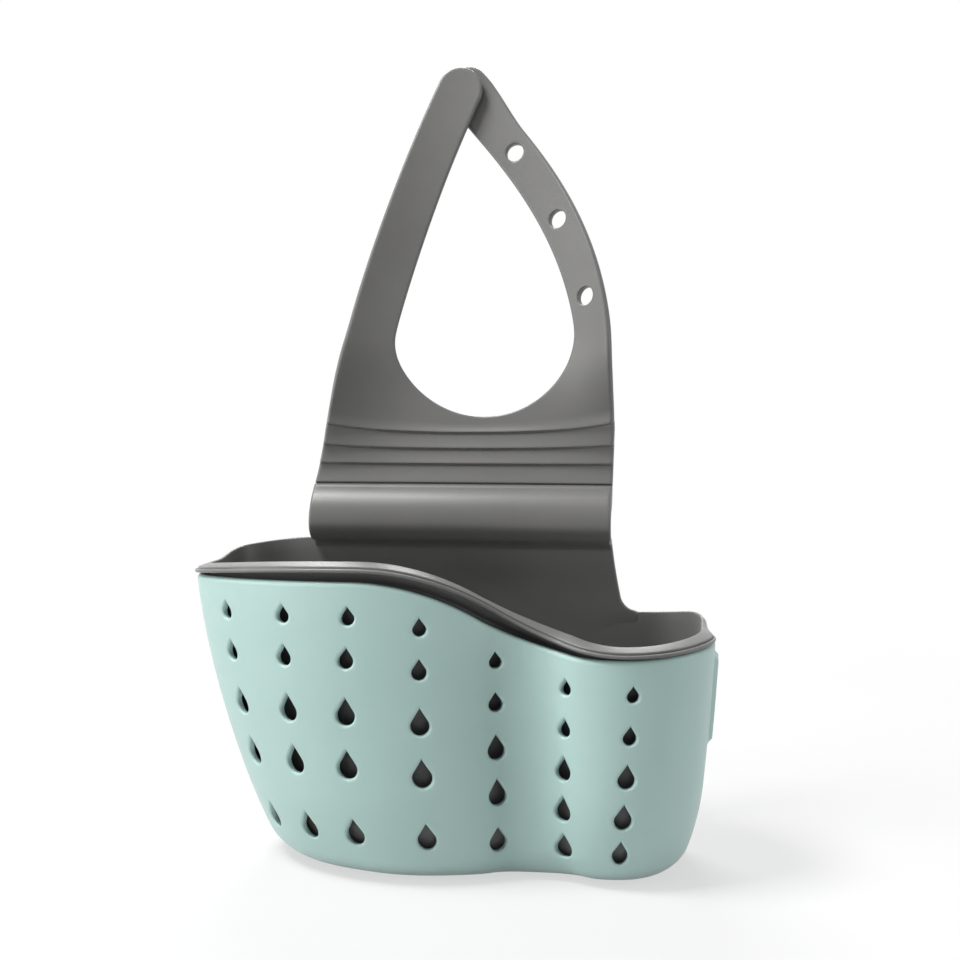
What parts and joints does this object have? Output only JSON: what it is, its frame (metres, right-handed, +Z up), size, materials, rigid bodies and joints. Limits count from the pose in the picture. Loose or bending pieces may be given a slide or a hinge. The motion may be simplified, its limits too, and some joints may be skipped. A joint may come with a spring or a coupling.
{
  "type": "kitchen sink caddy",
  "caption": "Drained plastic caddy with a soft lift-out liner whose back wall rises into a pleated strap that buttons into a loop, for hanging on a kitchen tap.",
  "frame": {"origin": "on the flat underside of the base, under the middle of the rim's length", "axes": "+Z up, +Y towards the strap at the back, +X to the right seen from the front"},
  "size_m": [0.1475, 0.0867, 0.2355],
  "materials": {
    "basket": "satin moulded plastic",
    "soft": "matte soft moulding"
  },
  "bodies": {
    "basket": {"outer_basket": "basket"},
    "liner": {"liner_tub": "soft", "strap_root": "soft", "pleat_web": "soft"},
    "yoke": {"loop_yoke": "soft"},
    "left_tail": {"button_tail": "soft", "snap_stud": "soft"},
    "right_tail": {"hole_tail": "soft"}
  },
  "joints": [
    {"name": "liner_lift", "type": "slide", "parent": "basket", "child": "liner", "axis": [0, 0, 1], "range_m": [0, 0.095]},
    {"name": "strap_fold", "type": "hinge", "parent": "liner", "child": "yoke", "pos_m": [0, 0.02935, 0.1138], "axis": [1, 0, 0], "range_deg": [-90, 75], "stiffness_Nm_per_rad": 0.4, "deforming": ["pleat_web"]},
    {"name": "left_tail_flex", "type": "hinge", "parent": "yoke", "child": "left_tail", "pos_m": [-0.0303, 0.02837, 0.15], "axis": [0.873, 0.4027, -0.2753], "range_deg": [0, 60], "stiffness_Nm_per_rad": 0.15, "deforming": ["snap_stud"]},
    {"name": "right_tail_flex", "type": "hinge", "parent": "yoke", "child": "right_tail", "pos_m": [0.0376, 0.02398, 0.15], "axis": [0.8105, -0.5117, 0.2849], "range_deg": [-60, 0], "stiffness_Nm_per_rad": 0.15, "deforming": ["snap_stud"]}
  ]
}
